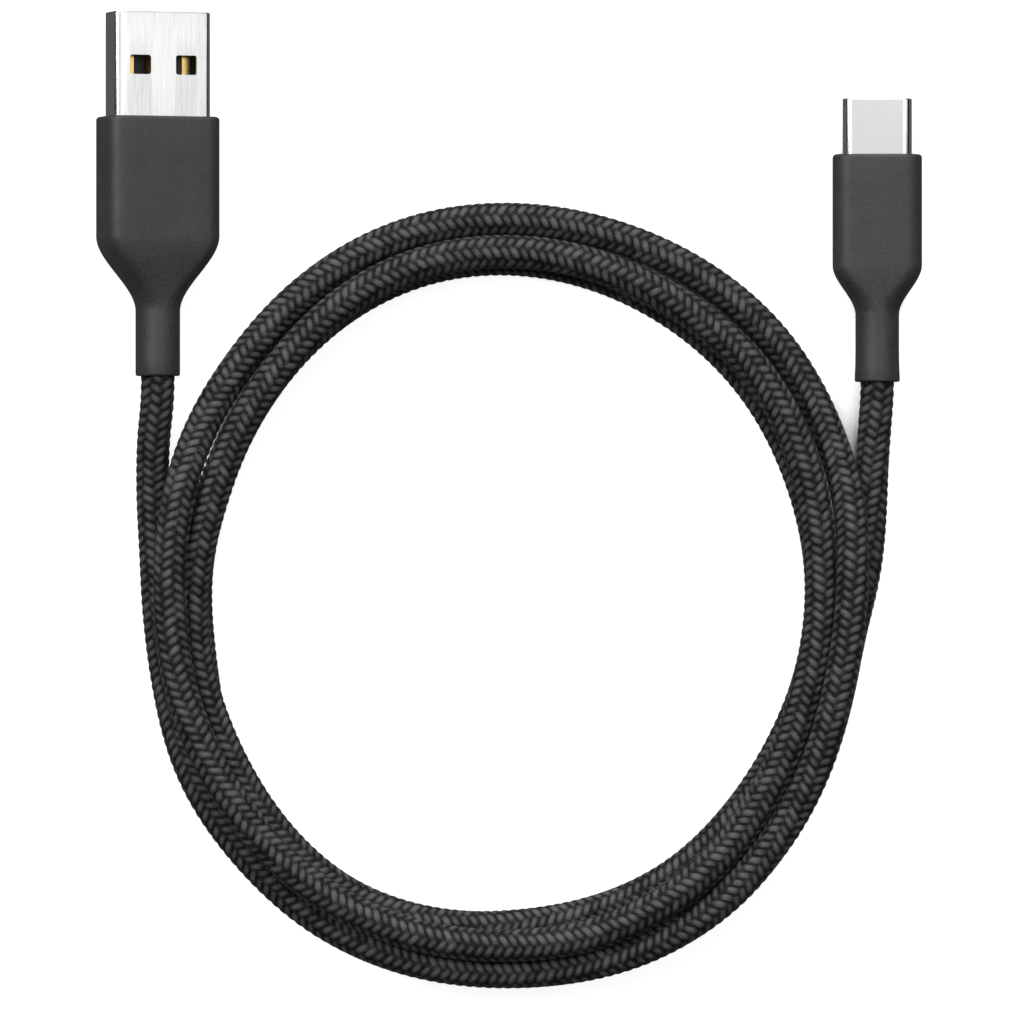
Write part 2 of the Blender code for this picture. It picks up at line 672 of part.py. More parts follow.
def coil_points():
    """The coil's points in order along the cord, from the first lead round the turns to the last lead."""
    points = []
    for turn in range(4):
        for bearing, *turns in LAY:
            if turn < len(turns):
                distance, height = turns[turn]
                x = COIL_CENTRE[0] + distance * MM * math.cos(math.radians(bearing))
                y = COIL_CENTRE[1] + distance * MM * math.sin(math.radians(bearing))
                points.append((x, y, height * MM))
    return points


def cord(start, end):
    in_metres = [[tuple(value * MM for value in point) for point in lead] for lead in (LEAD_A, LEAD_C)]
    route = [start, *in_metres[0], *coil_points(), *in_metres[1], end]
    tube_along(smooth_route(route, CORD_POINTS), CORD_DIAMETER / 2, 4, "braided_cord", "braid")


cord(type_a_plug(), type_c_plug())
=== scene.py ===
"""The braided charging cable on a white table, seen from straight above, with every surface finished.

All sizes are in metres in the part's own frame: both plugs point along +Y, and the cable lies on z = 0.
"""

import math

import bmesh
import bpy
import numpy as np
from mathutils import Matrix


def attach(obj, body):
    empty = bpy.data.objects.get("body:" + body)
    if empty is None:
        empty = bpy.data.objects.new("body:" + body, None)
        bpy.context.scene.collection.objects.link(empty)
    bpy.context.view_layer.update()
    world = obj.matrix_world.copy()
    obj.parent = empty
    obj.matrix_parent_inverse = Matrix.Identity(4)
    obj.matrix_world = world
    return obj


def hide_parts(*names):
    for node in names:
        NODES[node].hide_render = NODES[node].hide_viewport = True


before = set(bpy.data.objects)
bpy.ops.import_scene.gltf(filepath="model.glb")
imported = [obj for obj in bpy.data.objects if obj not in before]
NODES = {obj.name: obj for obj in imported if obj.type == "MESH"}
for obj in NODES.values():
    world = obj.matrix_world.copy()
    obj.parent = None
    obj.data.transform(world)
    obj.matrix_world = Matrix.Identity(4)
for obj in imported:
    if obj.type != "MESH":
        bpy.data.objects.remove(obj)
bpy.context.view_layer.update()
MM = 0.001

# Camera: it looks straight down at the middle of the picture.
VIEW_CENTRE = (-0.04 * MM, -37.5 * MM)
SHARP_HEIGHT = 4.0 * MM
CAMERA_DISTANCE = 1.0
PICTURE_SIDE = 121.9 * MM
SENSOR = 36.0
# Sky: brightness from its dark side to its bright side, as places on a ramp with a level at each.
SKY = ((0.0, 0.0), (0.24, 0.02), (0.42, 0.29), (0.68, 0.31), (0.92, 1.0))
SKY_STRENGTH = 2.8
SKY_RISE_UP = 0.5
SKY_RISE_FAR = 0.8
SKY_SIDES = (0.45, 0.78)  # from here to here out to the left and right, the sky fades to nothing
SKY_HORIZON = (3.5, 0.1)  # slope and start of the limit that darkens the sky near the horizon
TABLE_GLOW = 0.04
# Strip lights at the left and right: place, width and length, and power in watts.
KEY_LIGHT = ((-0.6, 0.2, 0.72), (0.1, 0.8), 2.6)
FILL_LIGHT = ((0.62, 0.15, 0.7), (0.24, 0.8), 0.75)
LIGHT_AIM = (0, -0.04, 0)
# Table: its side, its drop below the cable, and how much painted shade darkens it where strands close it in.
FLOOR_SIDE = 12.0
FLOOR_DROP = 0.02 * MM
FLOOR_REACH = 5 * MM
FLOOR_SAMPLES = 12
FLOOR_PAINTED_SHADE_RANGE = (0.28, 0.4)
FLOOR_GLOW = 0.9

# Cord
FACE_GAP = 0.3 * MM
INTO_GRIP = 1.2 * MM
COIL_CENTRE = (0.4 * MM, -47.0 * MM)
LAID = 1.95  # height in mm of a strand that lies on the table
# Bearing from the coil's centre in degrees, then each turn's distance from that centre and height, in mm.
LAY = (
    (180, (42.3, LAID), (40.55, 8.85), (38.0, 5.75), (37.75, LAID)),
    (195, (42.45, 2.2), (40.8, 8.95), (38.45, 5.8), (38.25, LAID)),
    (210, (43.65, 4.7), (41.15, 8.9), (38.95, 5.6), (40.3, LAID)),
    (225, (44.35, 5.2), (41.7, 8.8), (39.95, 5.3), (42.1, LAID)),
    (240, (45.15, 5.5), (42.15, 8.7), (40.8, 5.0), (43.4, LAID)),
    (255, (45.35, 5.75), (42.2, 8.25), (40.65, 4.0), (44.3, LAID)),
    (270, (45.15, 5.7), (41.9, 8.15), (39.9, 2.5), (44.1, LAID)),
    (285, (45.15, 5.6), (41.6, 7.7), (39.4, LAID), (43.6, LAID)),
    (300, (44.65, 5.5), (40.7, 6.95), (38.85, LAID), (43.05, LAID)),
    (315, (43.2, 5.85), (39.15, 5.85), (37.75, LAID), (41.95, LAID)),
    (330, (41.55, 6.95), (37.6, 5.8), (37.05, LAID), (41.2, 2.9)),
    (345, (40.35, 7.95), (36.8, 5.8), (36.85, LAID), (40.45, 3.85)),
    (355, (40.2, 7.9), (36.75, 5.85), (36.85, LAID), (40.8, 2.7)),
    (363, (40.4, 7.55), (36.8, 5.8), (36.85, LAID)),
    (373, (41.2, 5.8), (37.2, 5.8), (36.85, LAID)),
    (383, (41.9, 3.6), (37.85, 5.8), (37.0, LAID)),
    (395, (42.75, 2.2), (38.7, 5.8), (37.45, LAID)),
    (405, (43.4, LAID), (39.2, 5.8), (37.85, LAID)),
    (420, (43.85, LAID), (39.5, 5.8), (38.4, LAID)),
    (435, (44.1, LAID), (40.0, 5.8), (39.05, LAID)),
    (450, (44.4, LAID), (40.4, 5.8), (39.65, LAID)),
    (465, (44.45, LAID), (40.45, 5.8), (39.85, LAID)),
    (480, (43.8, 2.1), (39.75, 5.8), (39.35, LAID)),
    (495, (42.65, 3.0), (38.5, 5.8), (38.55, LAID)),
    (510, (41.85, 4.7), (37.7, 5.8), (37.85, LAID)),
    (525, (41.1, 7.7), (37.35, 5.75), (37.55, LAID)),
)
LEAD_A = (
    (-41.83, -24.5, 5.1),
    (-42.18, -27.8, 4.15),
    (-42.45, -32.5, 2.7),
    (-42.4, -37.3, 2.05),
    (-42.15, -42.0, LAID),
)
LEAD_C = (
    (41.7, -48.0, LAID),
    (42.6, -43.2, LAID),
    (43.05, -38.4, LAID),
    (43.4, -31.3, 2.05),
    (43.65, -27.1, 2.45),
)
# Braid: carriers each way round, the length of one turn of a carrier, the mesh's pitch and its relief.
CARRIERS = 8
LAY_LENGTH = 9.0 * MM
BRAID_STEP = 0.18 * MM
BRAID_SIDES = 48
BRAID_LOW = 1.78 * MM
BRAID_HIGH = 2.02 * MM
YARN_CROWN = 1.1  # height of a yarn's round back, against how far it rises over the yarns it crosses
YARN_NARROWING = 2.25  # 2 would fill the braid, and more leaves gaps between neighbours
# Slow twist of the whole sleeve: turns, length of one wave in metres, and phase.
TWISTS = ((0.16, 0.231, 0.0), (0.09, 0.097, 1.3))
TONE_SCATTER = 43758.5453

# Type-A plug: places along it are from the rear of its moulding.
# A frame is x, y and roll. A moulding or a shell is width, thickness and corner radius.
A_FRAME = (-41.73 * MM, -21.34 * MM, math.radians(20))
A_GRIP = (14.0 * MM, 7.5 * MM, 1.8 * MM)
A_GRIP_LENGTH = 30.8 * MM
A_TAPER = (7.7 * MM, 16.6 * MM)
A_NECK = 5.3 * MM
A_SHELL = (12.0 * MM, 4.5 * MM, 0.8 * MM)
A_WALL = 0.3 * MM
A_SHELL_REAR = 24.5 * MM
A_TIP = 43.2 * MM
A_WINDOW = (2.6 * MM, 2.3 * MM, 0.3 * MM)
A_WINDOW_X = 2.85 * MM
A_WINDOW_FROM_TIP = 6.3 * MM
A_SEAM = (0.06 * MM, 40 * MM, 0.16 * MM)
A_LIP = 0.14 * MM
# Hollow of the moulding from the rear forwards: y, width, thickness and corner radius in mm.
A_GRIP_INSIDE = (
    (0.0, 4.0, 4.0, 2.0),
    (8.9, 4.0, 4.0, 2.0),
    (9.3, 4.6, 4.6, 2.3),
    (12.3, 4.6, 4.6, 2.3),
    (12.4, 8.3, 5.0, 2.3),
    (15.2, 11.9, 5.8, 2.1),
    (17.6, 13.1, 6.0, 1.3),
    (29.4, 13.1, 6.0, 1.3),
    (29.5, 12.1, 4.6, 0.6),
    (30.7, 12.1, 4.6, 0.6),
)

# Type-C plug
C_FRAME = (43.9 * MM, -22.0 * MM, 0.0)
C_GRIP = (10.6 * MM, 5.9 * MM, 2.2 * MM)
C_GRIP_LENGTH = 27.1 * MM
C_TAPER = (8.0 * MM, 13.9 * MM)
C_NECK = 5.2 * MM
C_FLARE = 0.1 * MM
C_SHELL = (8.25 * MM, 2.4 * MM, 1.19 * MM)
C_WALL = 0.25 * MM
C_SHELL_REAR = 22.3 * MM
C_TIP = 33.75 * MM
C_LIP = 0.12 * MM
C_GRIP_INSIDE = (
    (0.0, 4.0, 4.0, 2.0),
    (8.0, 4.0, 4.0, 2.0),
    (8.3, 4.4, 4.4, 2.2),
    (11.4, 4.4, 4.4, 2.2),
    (11.6, 7.1, 4.5, 2.1),
    (13.4, 9.0, 4.6, 1.7),
    (14.4, 9.3, 4.6, 1.5),
    (25.6, 9.3, 4.6, 1.5),
    (25.7, 8.34, 2.49, 1.24),
    (27.0, 8.34, 2.49, 1.24),
)

# Both mouldings: crown of the flats, rounding of the front and rear edges, and how finely each is drawn.
CROWN = 0.1 * MM
FRONT_RADIUS = 0.4 * MM
REAR_RADIUS = 0.25 * MM
FRONT_STEPS = 8
REAR_STEPS = 4
TAPER_STEPS = 36
CORNER_STEPS = 12
FLAT_STEPS = 8
LIP_STEPS = 6
LEAST_FLAT = 0.0001 * MM  # keeps a fully round section's corners from meeting


# ---- route of the cord ----


def smooth_route(points, count):
    """Evenly spaced points on the natural cubic spline through the given ones."""
    p = np.array(points, float)
    t = np.concatenate([[0], np.cumsum(np.linalg.norm(np.diff(p, axis=0), axis=1))])
    h = np.diff(t)
    matrix, slopes = np.eye(len(p)), np.zeros_like(p)
    for i in range(1, len(p) - 1):
        matrix[i, i - 1 : i + 2] = h[i - 1], 2 * (h[i - 1] + h[i]), h[i]
        slopes[i] = 6 * ((p[i + 1] - p[i]) / h[i] - (p[i] - p[i - 1]) / h[i - 1])
    bend = np.linalg.solve(matrix, slopes)
    at = np.linspace(0, t[-1], 200 * len(p))
    i = np.clip(np.searchsorted(t, at) - 1, 0, len(p) - 2)
    u, v, w = (at - t[i])[:, None], (t[i + 1] - at)[:, None], h[i][:, None]
    fine = (bend[i] * v**3 + bend[i + 1] * u**3) / (6 * w)
    fine += (p[i] / w - bend[i] * w / 6) * v + (p[i + 1] / w - bend[i + 1] * w / 6) * u
    run = np.concatenate([[0], np.cumsum(np.linalg.norm(np.diff(fine, axis=0), axis=1))])
    even = np.linspace(0, run[-1], count)
    return np.stack([np.interp(even, run, fine[:, k]) for k in range(3)], axis=1)


def cord_route(count):
    """The cord's centreline, from inside the Type-A grip round the coil to inside the Type-C grip."""
    a_height, c_height = a_axis_height(), C_GRIP[1] / 2
    inside_a = (A_FRAME[0], A_FRAME[1] + INTO_GRIP, a_height)
    start = (A_FRAME[0], A_FRAME[1] - FACE_GAP, a_height)
    end = (C_FRAME[0], C_FRAME[1] - FACE_GAP, c_height)
    inside_c = (C_FRAME[0], C_FRAME[1] + INTO_GRIP, c_height)
    coil = []
    for turn in range(4):
        for bearing, *turns in LAY:
            if turn < len(turns):
                distance, height = turns[turn]
                x = COIL_CENTRE[0] + distance * MM * math.cos(math.radians(bearing))
                y = COIL_CENTRE[1] + distance * MM * math.sin(math.radians(bearing))
                coil.append((x, y, height * MM))
    leads = [[tuple(value * MM for value in point) for point in lead] for lead in (LEAD_A, LEAD_C)]
    return smooth_route([inside_a, start, *leads[0], *coil, *leads[1], end, inside_c], count)


def a_axis_height():
    """Height of the rolled Type-A plug's axis when its lowest edge rests on the table."""
    width, thickness, radius = A_GRIP
    roll = A_FRAME[2]
    return (width / 2 - radius) * math.sin(roll) + (thickness / 2 - radius) * math.cos(roll) + radius


# ---- camera, light and table ----


def make_camera():
    data = bpy.data.cameras.new("camera")
    data.sensor_width = SENSOR
    data.lens = SENSOR * CAMERA_DISTANCE / PICTURE_SIDE
    data.clip_start, data.clip_end = 0.05, 50
    camera = bpy.data.objects.new("camera", data)
    camera.location = (*VIEW_CENTRE, CAMERA_DISTANCE + SHARP_HEIGHT)
    bpy.context.scene.collection.objects.link(camera)
    bpy.context.scene.camera = camera


def make_world():
    """A soft box overhead, brighter at the far side and dark to the left and right, over a dim table."""
    world = bpy.data.worlds.new("studio")
    bpy.context.scene.world = world
    world.use_nodes = True
    tree = world.node_tree
    tree.nodes.clear()
    coords = tree.nodes.new("ShaderNodeTexCoord")
    split = tree.nodes.new("ShaderNodeSeparateXYZ")
    tree.links.new(coords.outputs["Generated"], split.inputs[0])
    x, y, z = split.outputs
    upwards, far = maths(tree, "MULTIPLY", z, SKY_RISE_UP), maths(tree, "MULTIPLY", y, SKY_RISE_FAR)
    middle = mapped(tree, maths(tree, "ABSOLUTE", x, 0.0), *SKY_SIDES, 1.0, 0.0)
    facing = maths(tree, "MULTIPLY", maths(tree, "ADD", upwards, far), middle)
    slope, start = SKY_HORIZON
    horizon = maths(tree, "ADD", maths(tree, "MULTIPLY", z, slope), start)
    facing = maths(tree, "MINIMUM", facing, horizon)
    ramp = tree.nodes.new("ShaderNodeValToRGB")
    ramp.color_ramp.interpolation = "EASE"
    while len(ramp.color_ramp.elements) < len(SKY):
        ramp.color_ramp.elements.new(0.5)
    for element, (at, level) in zip(ramp.color_ramp.elements, SKY):
        element.position = at
        element.color = (level, level, level, 1)
    tree.links.new(facing, ramp.inputs[0])
    above = maths(tree, "GREATER_THAN", z, 0.0)
    colour = tree.nodes.new("ShaderNodeMix")
    colour.data_type = "RGBA"
    colour.inputs[6].default_value = (TABLE_GLOW, TABLE_GLOW, TABLE_GLOW, 1)
    tree.links.new(above, colour.inputs[0])
    tree.links.new(ramp.outputs[0], colour.inputs[7])
    soft = tree.nodes.new("ShaderNodeBackground")
    soft.inputs["Strength"].default_value = SKY_STRENGTH
    tree.links.new(colour.outputs[2], soft.inputs["Color"])
    white = tree.nodes.new("ShaderNodeBackground")
    white.inputs["Color"].default_value = (1, 1, 1, 1)
    path = tree.nodes.new("ShaderNodeLightPath")
    mix = tree.nodes.new("ShaderNodeMixShader")
    tree.links.new(path.outputs["Is Camera Ray"], mix.inputs[0])
    tree.links.new(soft.outputs[0], mix.inputs[1])
    tree.links.new(white.outputs[0], mix.inputs[2])
    out = tree.nodes.new("ShaderNodeOutputWorld")
    tree.links.new(mix.outputs[0], out.inputs["Surface"])


def area_light(name, place, size, power):
    """A strip light that points at the middle of the cable and isn't seen itself."""
    data = bpy.data.lights.new(name, "AREA")
    data.shape = "RECTANGLE"
    data.size, data.size_y = size
    data.energy = power
    light = bpy.data.objects.new(name, data)
    light.location = place
    aim = bpy.data.objects.new(f"{name}_aim", None)
    aim.location = LIGHT_AIM
    for obj in (light, aim):
        bpy.context.scene.collection.objects.link(obj)
    track = light.constraints.new("TRACK_TO")
    track.target = aim
    track.track_axis, track.up_axis = "TRACK_NEGATIVE_Z", "UP_Y"
    light.visible_camera = False


def make_floor():
    """A white light table, with painted shade that darkens it in the narrow gaps between strands. It gives no
    light to the cable.
    """
    bm = bmesh.new()
    bmesh.ops.create_grid(bm, x_segments=2, y_segments=2, size=FLOOR_SIDE / 2)
    mesh = bpy.data.meshes.new("floor")
    bm.to_mesh(mesh)
    bm.free()
    floor = bpy.data.objects.new("floor", mesh)
    floor.location = (0, 0, -FLOOR_DROP)
    bpy.context.scene.collection.objects.link(floor)
    floor.visible_diffuse = False
    floor.visible_glossy = False
    material, shader, tree = new_material("table")
    shader.inputs["Roughness"].default_value = 0.9
    openness = tree.nodes.new("ShaderNodeAmbientOcclusion")
    openness.inputs["Distance"].default_value = FLOOR_REACH
    openness.samples = FLOOR_SAMPLES
    # Painted shade: the table's colour and glow go dark where the strands close it in.
    unshaded_share = mapped(tree, openness.outputs["AO"], *FLOOR_PAINTED_SHADE_RANGE, 0.0, 1.0)
    colour = mix_colours(tree, unshaded_share, (0.01, 0.01, 0.01), (0.4, 0.4, 0.4))
    tree.links.new(colour, shader.inputs["Base Color"])
    glow = mix_colours(tree, unshaded_share, (0.0, 0.0, 0.0), (1.0, 1.0, 1.0))
    tree.links.new(glow, shader.inputs["Emission Color"])
    shader.inputs["Emission Strength"].default_value = FLOOR_GLOW
    floor.data.materials.append(material)


# ---- materials ----


def new_material(name):
    material = bpy.data.materials.new(name)
    material.use_nodes = True
    tree = material.node_tree
    return material, tree.nodes["Principled BSDF"], tree


def mix_colours(tree, factor, dark, light):
    """A colour between two fixed ones."""
    mix = tree.nodes.new("ShaderNodeMix")
    mix.data_type = "RGBA"
    mix.inputs[6].default_value = (*dark, 1)
    mix.inputs[7].default_value = (*light, 1)
    tree.links.new(factor, mix.inputs[0])
    return mix.outputs[2]


def mapped(tree, value, low, high, to_low, to_high):
    """The value with low to high stretched to to_low to to_high, and held there outside them."""
    node = tree.nodes.new("ShaderNodeMapRange")
    settings = (("From Min", low), ("From Max", high), ("To Min", to_low), ("To Max", to_high))
    for socket, number in settings:
        node.inputs[socket].default_value = number
    tree.links.new(value, node.inputs["Value"])
    return node.outputs["Result"]


def maths(tree, operation, first, second):
    """One sum of two sockets or numbers."""
    node = tree.nodes.new("ShaderNodeMath")
    node.operation = operation
    for socket, value in zip(node.inputs, (first, second)):
        if isinstance(value, (int, float)):
            socket.default_value = value
        else:
            tree.links.new(value, socket)
    return node.outputs[0]


def noise(tree, size, detail=3.0, roughness=0.55, stretch=None):
    """Noise whose features are about this many metres across, in the part's own space."""
    coords = tree.nodes.new("ShaderNodeTexCoord")
    source = coords.outputs["Object"]
    if stretch:
        mapping = tree.nodes.new("ShaderNodeMapping")
        mapping.inputs["Scale"].default_value = stretch
        tree.links.new(source, mapping.inputs["Vector"])
        source = mapping.outputs["Vector"]
    node = tree.nodes.new("ShaderNodeTexNoise")
    node.inputs["Scale"].default_value = 1 / size
    node.inputs["Detail"].default_value = detail
    node.inputs["Roughness"].default_value = roughness
    tree.links.new(source, node.inputs["Vector"])
    return node.outputs["Fac"]


def bump(tree, shader, height, distance, strength=1.0):
    node = tree.nodes.new("ShaderNodeBump")
    node.inputs["Strength"].default_value = strength
    node.inputs["Distance"].default_value = distance
    tree.links.new(height, node.inputs["Height"])
    tree.links.new(node.outputs["Normal"], shader.inputs["Normal"])


def attribute(tree, name):
    node = tree.nodes.new("ShaderNodeAttribute")
    node.attribute_name = name
    return node.outputs["Fac"]


def braid_material():
    """Nylon yarn: painted shade dark in the gaps between yarns, each float a slightly different grey, with
    fine filaments along it.
    """
    material, shader, tree = new_material("nylon_braid")
    relief, tone, across = (attribute(tree, name) for name in ("relief", "tone", "across"))
    speckle = noise(tree, 0.2 * MM, 3.0, 0.7)
    floats = mapped(tree, tone, 0, 1, -0.25, 0.25)
    # Painted shade from the yarns' relief, darkest in the gaps between them, with each float's own tone and
    # speckle added.
    lit = maths(tree, "ADD", mapped(tree, relief, 0.5, 1.0, -0.05, 0.9), floats)
    lit = maths(tree, "ADD", lit, mapped(tree, speckle, 0.3, 0.7, -0.3, 0.3))
    colour = mix_colours(tree, lit, (0.004, 0.004, 0.004), (0.118, 0.118, 0.12))
    tree.links.new(colour, shader.inputs["Base Color"])
    tree.links.new(mapped(tree, speckle, 0.3, 0.7, 0.5, 0.66), shader.inputs["Roughness"])
    shader.inputs["Specular IOR Level"].default_value = 0.25
    shader.inputs["Sheen Weight"].default_value = 0.05
    shader.inputs["Sheen Roughness"].default_value = 0.4
    filaments_across = 5
    filament = maths(tree, "SINE", maths(tree, "MULTIPLY", across, 2 * math.pi * filaments_across), 0)
    height = maths(tree, "ADD", maths(tree, "MULTIPLY", filament, 0.35), speckle)
    bump(tree, shader, height, 0.03 * MM, 0.8)
    return material


def grip_material():
    """Soft-touch moulding with a fine spark-eroded grain."""
    material, shader, tree = new_material("grip_moulding")
    grain = noise(tree, 0.22 * MM, 2.0, 0.6)
    broad = noise(tree, 2.6 * MM, 2.0)
    unevenness = mapped(tree, broad, 0.3, 0.7, -0.12, 0.12)
    tint = maths(tree, "ADD", mapped(tree, grain, 0.3, 0.7, 0.12, 0.88), unevenness)
    colour = mix_colours(tree, tint, (0.032, 0.032, 0.033), (0.068, 0.068, 0.070))
    tree.links.new(colour, shader.inputs["Base Color"])
    tree.links.new(mapped(tree, grain, 0.3, 0.7, 0.36, 0.48), shader.inputs["Roughness"])
    shader.inputs["Specular IOR Level"].default_value = 0.45
    bump(tree, shader, grain, 0.045 * MM, 0.7)
    return material


def steel_material(name, level, roughness=(0.16, 0.26)):
    """Bright plated sheet with faint drawing lines along the plug. The level is how much it reflects."""
    material, shader, tree = new_material(name)
    lines = noise(tree, 0.12 * MM, 2.0, 0.5, (1, 0.03, 1))
    cloud = noise(tree, 1.8 * MM, 3.0)
    low = tuple(level * part for part in (0.955, 0.955, 0.96))
    high = tuple(level * part for part in (1.0, 1.0, 1.005))
    tree.links.new(mix_colours(tree, cloud, low, high), shader.inputs["Base Color"])
    tree.links.new(mapped(tree, lines, 0.3, 0.7, *roughness), shader.inputs["Roughness"])
    shader.inputs["Metallic"].default_value = 1.0
    bump(tree, shader, lines, 0.001 * MM, 0.5)
    return material


def metal_material(name, dark, light, roughness):
    """Plated metal, a little cloudy in colour and gloss."""
    material, shader, tree = new_material(name)
    cloud = noise(tree, 0.5 * MM, 3.0)
    tree.links.new(mix_colours(tree, cloud, dark, light), shader.inputs["Base Color"])
    gloss = mapped(tree, cloud, 0.3, 0.7, roughness - 0.05, roughness + 0.07)
    tree.links.new(gloss, shader.inputs["Roughness"])
    shader.inputs["Metallic"].default_value = 1.0
    bump(tree, shader, cloud, 0.004 * MM, 0.4)
    return material


def plastic_material(name, colour, roughness, grain=0.2 * MM, depth=0.01 * MM):
    """Moulded or extruded plastic: a little uneven in colour and gloss, with a fine surface."""
    material, shader, tree = new_material(name)
    fine, broad = noise(tree, grain, 3.0), noise(tree, 9 * grain, 2.0)
    dark = tuple(0.82 * part for part in colour)
    light = tuple(min(1.0, 1.14 * part) for part in colour)
    tree.links.new(mix_colours(tree, broad, dark, light), shader.inputs["Base Color"])
    gloss = mapped(tree, fine, 0.3, 0.7, roughness - 0.06, roughness + 0.06)
    tree.links.new(gloss, shader.inputs["Roughness"])
    bump(tree, shader, fine, depth, 0.5)
    return material


# ---- mesh helpers ----


def add_object(name, mesh, material, slot, *replaced):
    """Links a new piece to the cable's body, as the stand-in for these CAD nodes."""
    obj = bpy.data.objects.new(name, mesh)
    bpy.context.scene.collection.objects.link(obj)
    mesh.materials.append(material)
    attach(obj, "cable")
    if replaced:
        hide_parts(*replaced)
    return obj


def quad_mesh(name, rows):
    """A closed surface through equally long rings of points: the last ring joins the first."""
    rings, sides = rows.shape[:2]
    mesh = bpy.data.meshes.new(name)
    ring, side = np.meshgrid(np.arange(rings), np.arange(sides), indexing="ij")
    near, far = ring * sides, (ring + 1) % rings * sides
    beside = (side + 1) % sides
    faces = np.stack([near + side, near + beside, far + beside, far + side], axis=-1)
    fill_mesh(mesh, rows.reshape(-1, 3), faces.reshape(-1, 4))
    return mesh


def fill_mesh(mesh, points, quads):
    """Gives an empty mesh these points and four-sided faces."""
    mesh.vertices.add(len(points))
    mesh.vertices.foreach_set("co", points.astype(np.float32).ravel())
    mesh.loops.add(4 * len(quads))
    mesh.loops.foreach_set("vertex_index", quads.astype(np.int32).ravel())
    mesh.polygons.add(len(quads))
    mesh.polygons.foreach_set("loop_start", np.arange(0, 4 * len(quads), 4, dtype=np.int32))
    mesh.update(calc_edges=True)


def smooth(mesh, angle):
    """Smooth shading, with edges that turn by more than this many degrees left sharp."""
    mesh.shade_smooth()
    mesh.set_sharp_from_angle(angle=math.radians(angle))


def section(width, thickness, radius, y, crown=0.0):
    """Points in order round a rounded rectangle across the plug at y, its flats slightly crowned."""
    radius = min(radius, width / 2 - LEAST_FLAT, thickness / 2 - LEAST_FLAT)
    half_x, half_z = width / 2 - radius, thickness / 2 - radius
    points = []
    for corner, (side, top) in enumerate(((1, 1), (-1, 1), (-1, -1), (1, -1))):
        for step in range(CORNER_STEPS):
            angle = math.radians(90) * (corner + step / (CORNER_STEPS - 1))
            points.append((side * half_x + radius * math.cos(angle), top * half_z + radius * math.sin(angle)))
        here = points[-1]
        ahead = (-here[0], here[1]) if corner % 2 == 0 else (here[0], -here[1])
        for step in range(1, FLAT_STEPS):
            share = step / FLAT_STEPS
            x = here[0] + (ahead[0] - here[0]) * share
            points.append((x, here[1] + (ahead[1] - here[1]) * share))
    points = np.array(points)
    if crown and half_x > 0:
        lift = crown * (1 - np.clip(np.abs(points[:, 0]) / (width / 2), 0, 1) ** 2)
        share = np.clip(np.abs(points[:, 1]) / (thickness / 2), 0, 1)
        points[:, 1] += np.sign(points[:, 1]) * lift * share
        points[:, 1] *= (thickness / 2) / (thickness / 2 + crown)
    return np.column_stack([points[:, 0], np.full(len(points), y), points[:, 1]])


def swell(share):
    """Goes smoothly from 0 to 1 as share does, level at both ends."""
    return share * share * (3 - 2 * share)


def into_row(rows, plug, height):
    """Points in a plug's own frame, moved to where the plug lies."""
    x, y, roll = plug
    turned = rows.copy()
    turned[..., 0] = x + rows[..., 0] * math.cos(roll) + rows[..., 2] * math.sin(roll)
    turned[..., 1] = y + rows[..., 1]
    turned[..., 2] = height - rows[..., 0] * math.sin(roll) + rows[..., 2] * math.cos(roll)
    return turned


# ---- braided cord ----


def frames_along(points):
    """Two unit vectors across the cord at each point: sideways, and upwards."""
    along = np.gradient(points, axis=0)
    along /= np.linalg.norm(along, axis=1)[:, None]
    side = np.cross(along, (0, 0, 1))
    side /= np.linalg.norm(side, axis=1)[:, None]
    return side, np.cross(side, along)


def braid_relief(run, turn):
    """Height of the woven yarns from 0 to 1, the grey of the float there, and the place across its yarn.

    A place on the cord is its run along it and its turn round it. Two families of yarns cross there.
    """
    first = CARRIERS * (turn - run / LAY_LENGTH)
    second = CARRIERS * (turn + run / LAY_LENGTH)
    i, j = np.floor(first), np.floor(second)
    a, b = first - i - 0.5, second - j - 0.5
    rise_a = np.cos(math.pi / 2 * (i + second - 1))
    rise_b = np.cos(math.pi / 2 * (first + j - 3))
    high_a = rise_a + YARN_CROWN * np.sqrt(np.clip(1 - (YARN_NARROWING * a) ** 2, 0, 1))
    high_b = rise_b + YARN_CROWN * np.sqrt(np.clip(1 - (YARN_NARROWING * b) ** 2, 0, 1))
    on_top = high_a >= high_b
    height = np.clip(np.maximum(high_a, high_b) / (1 + YARN_CROWN), 0, 1)
    column = np.floor((first + second) / 4)
    key = np.where(on_top, i * 12.9898 + column * 78.233, j * 39.3468 + column * 11.135 + 5.2)
    tone = np.abs(np.sin(key) * TONE_SCATTER) % 1.0
    return height, tone, np.where(on_top, a, b)


